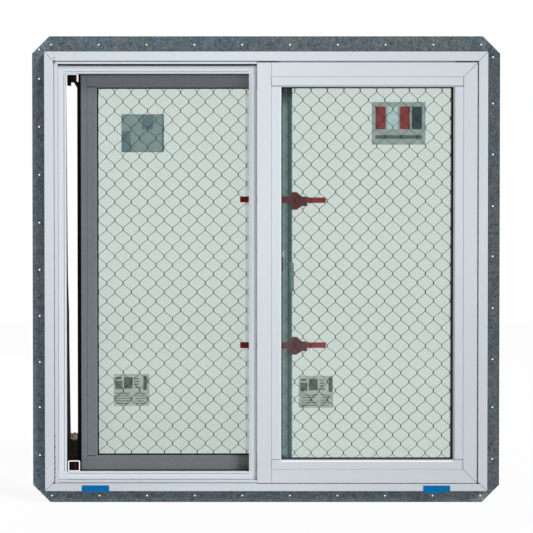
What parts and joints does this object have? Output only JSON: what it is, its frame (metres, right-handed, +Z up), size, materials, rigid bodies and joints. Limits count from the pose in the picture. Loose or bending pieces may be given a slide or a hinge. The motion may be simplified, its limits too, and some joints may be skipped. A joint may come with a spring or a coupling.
{
  "type": "horizontal sliding window",
  "caption": "Horizontal sliding window with a nailing flange, a fixed sash, a sliding sash standing ajar, wired double glazing and a half screen frame.",
  "frame": {"origin": "middle of the sill flange's back face, the plane that lies on the wall", "axes": "+X to the right seen from outside, +Y from outside into the room, +Z up"},
  "size_m": [1.274, 0.103, 1.271],
  "materials": {
    "white_vinyl": "semi-gloss extruded vinyl, slightly dusty",
    "grey_vinyl": "fine-grained grey vinyl",
    "flange_vinyl": "mottled dark grey, rough outer edge",
    "screen_metal": "white baked paint on rolled metal",
    "key_plastic": "white moulded plastic",
    "glazing": "clear wired glass with a grey-green tint",
    "spacer_metal": "matt mill finish",
    "gasket_rubber": "black, matt",
    "fin_rubber": "black, matt",
    "block_foam": "black foam with a worn tan top",
    "lock_plastic": "pale grey moulding",
    "black_plastic": "black moulding",
    "red_plastic": "translucent red moulding"
  },
  "bodies": {
    "root": {"fixed_beads_across": "white_vinyl", "fixed_beads_upright": "white_vinyl", "fixed_bottom_rail": "white_vinyl", "fixed_gasket": "gasket_rubber", "fixed_glass_spacer": "spacer_metal", "fixed_inner_glass": "glazing", "fixed_meeting_stile": "white_vinyl", "fixed_outer_glass": "glazing", "fixed_side_stile": "white_vinyl", "fixed_top_rail": "white_vinyl", "frame_head": "white_vinyl", "frame_left_jamb": "white_vinyl", "frame_right_jamb": "white_vinyl", "frame_sill": "white_vinyl", "head_flange": "flange_vinyl", "left_flange": "flange_vinyl", "lock_housing": "lock_plastic", "lock_keeper": "black_plastic", "lock_lever": "lock_plastic", "lower_stop_block": "block_foam", "lower_strap_clip": "red_plastic", "right_flange": "flange_vinyl", "screen_bottom_bar": "screen_metal", "screen_corner_keys": "key_plastic", "screen_head_strip": "white_vinyl", "screen_jamb_strip": "white_vinyl", "screen_left_bar": "screen_metal", "screen_right_bar": "screen_metal", "screen_sill_strip": "white_vinyl", "screen_top_bar": "screen_metal", "sill_flange": "flange_vinyl", "sliding_beads_across": "grey_vinyl", "sliding_beads_upright": "grey_vinyl", "sliding_bottom_rail": "grey_vinyl", "sliding_gasket": "gasket_rubber", "sliding_glass_spacer": "spacer_metal", "sliding_inner_glass": "glazing", "sliding_lock_stile": "grey_vinyl", "sliding_outer_glass": "glazing", "sliding_outer_stile": "grey_vinyl", "sliding_top_rail": "grey_vinyl", "sliding_weather_fin": "fin_rubber", "upper_stop_block": "block_foam", "upper_strap_clip": "red_plastic"}
  },
  "joints": []
}
